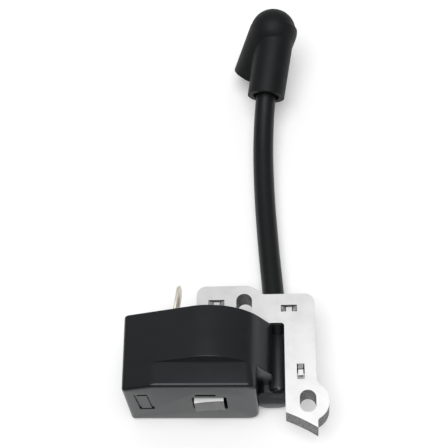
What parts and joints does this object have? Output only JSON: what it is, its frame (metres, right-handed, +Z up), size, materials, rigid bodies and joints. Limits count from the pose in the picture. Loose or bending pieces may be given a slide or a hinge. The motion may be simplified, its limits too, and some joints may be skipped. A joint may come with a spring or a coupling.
{
  "type": "ignition coil",
  "caption": "Ignition coil of a small petrol engine: laminated steel core, potted black coil case with a stop terminal, and a flexible lead with a rubber plug cap.",
  "frame": {"origin": "on the underside of the steel core, where the centre line of the free leg meets the centre line of the yoke", "axes": "+Z up through the stack of sheets, +Y from the flywheel side towards the lead, -X towards the coil case"},
  "size_m": [0.0623, 0.1585, 0.0315],
  "materials": {
    "electrical_steel": "bare stamped sheet, satin",
    "case_plastic": "moulded, satin black",
    "potting_resin": "cast, glossy",
    "bobbin_plastic": "moulded, natural",
    "enamelled_copper": "enamelled wire",
    "fine_copper": "fine enamelled wire",
    "tinned_brass": "tinned",
    "lead_rubber": "smooth black",
    "cap_rubber": "moulded, matt black",
    "board_laminate": "laminate",
    "component_epoxy": "moulded",
    "capacitor_coating": "dipped",
    "diode_glass": "glass",
    "resistor_lacquer": "lacquered",
    "spring_steel": "drawn wire"
  },
  "bodies": {
    "coil": {"capacitor": "capacitor_coating", "circuit_board": "board_laminate", "coil_case": "case_plastic", "diode": "diode_glass", "earth_strip": "tinned_brass", "high_tension_link": "enamelled_copper", "lamination_01": "electrical_steel", "lamination_02": "electrical_steel", "lamination_03": "electrical_steel", "lamination_04": "electrical_steel", "lamination_05": "electrical_steel", "lamination_06": "electrical_steel", "lamination_07": "electrical_steel", "lamination_08": "electrical_steel", "lamination_09": "electrical_steel", "lamination_10": "electrical_steel", "lamination_11": "electrical_steel", "lead_conductor_1": "enamelled_copper", "lead_jacket_1": "lead_rubber", "lead_spike": "tinned_brass", "potting_resin": "potting_resin", "primary_bobbin": "bobbin_plastic", "primary_winding": "enamelled_copper", "resistor_1": "resistor_lacquer", "resistor_2": "resistor_lacquer", "secondary_bobbin": "bobbin_plastic", "secondary_winding_1": "fine_copper", "secondary_winding_2": "fine_copper", "secondary_winding_3": "fine_copper", "secondary_winding_4": "fine_copper", "stop_terminal": "tinned_brass", "switching_transistor": "component_epoxy"},
    "lead_link_2": {"lead_jacket_2": "lead_rubber", "lead_conductor_2": "enamelled_copper"},
    "lead_link_3": {"lead_jacket_3": "lead_rubber", "lead_conductor_3": "enamelled_copper"},
    "lead_link_4": {"lead_jacket_4": "lead_rubber", "lead_conductor_4": "enamelled_copper"},
    "lead_link_5": {"lead_jacket_5": "lead_rubber", "lead_conductor_5": "enamelled_copper"},
    "cap": {"plug_cap": "cap_rubber", "plug_spring_clip": "spring_steel"}
  },
  "joints": [
    {"name": "lead_sway", "type": "hinge", "parent": "coil", "child": "lead_link_2", "pos_m": [-0.00835, 0.0118, -0.00491], "axis": [0, 0, 1], "range_deg": [-18, 18]},
    {"name": "lead_lift", "type": "hinge", "parent": "lead_link_2", "child": "lead_link_3", "pos_m": [-0.00987, 0.03174, -0.00499], "axis": [0.9977, 0.0677, 0], "range_deg": [-18, 18]},
    {"name": "lead_sway_far", "type": "hinge", "parent": "lead_link_3", "child": "lead_link_4", "pos_m": [-0.01091, 0.0517, -0.0042], "axis": [0, 0, 1], "range_deg": [-18, 18]},
    {"name": "lead_lift_far", "type": "hinge", "parent": "lead_link_4", "child": "lead_link_5", "pos_m": [-0.01099, 0.07154, -0.00182], "axis": [0.9995, -0.0317, 0], "range_deg": [-18, 18]},
    {"name": "cap_swivel", "type": "hinge", "parent": "lead_link_5", "child": "cap", "pos_m": [-0.00981, 0.0873, 0.0021], "axis": [0.1218, 0.941, 0.3157], "range_deg": [-90, 90]}
  ],
  "couplings": [
    {"joint": "lead_sway_far", "follows": "lead_sway", "ratio": 1},
    {"joint": "lead_lift_far", "follows": "lead_lift", "ratio": 1}
  ]
}
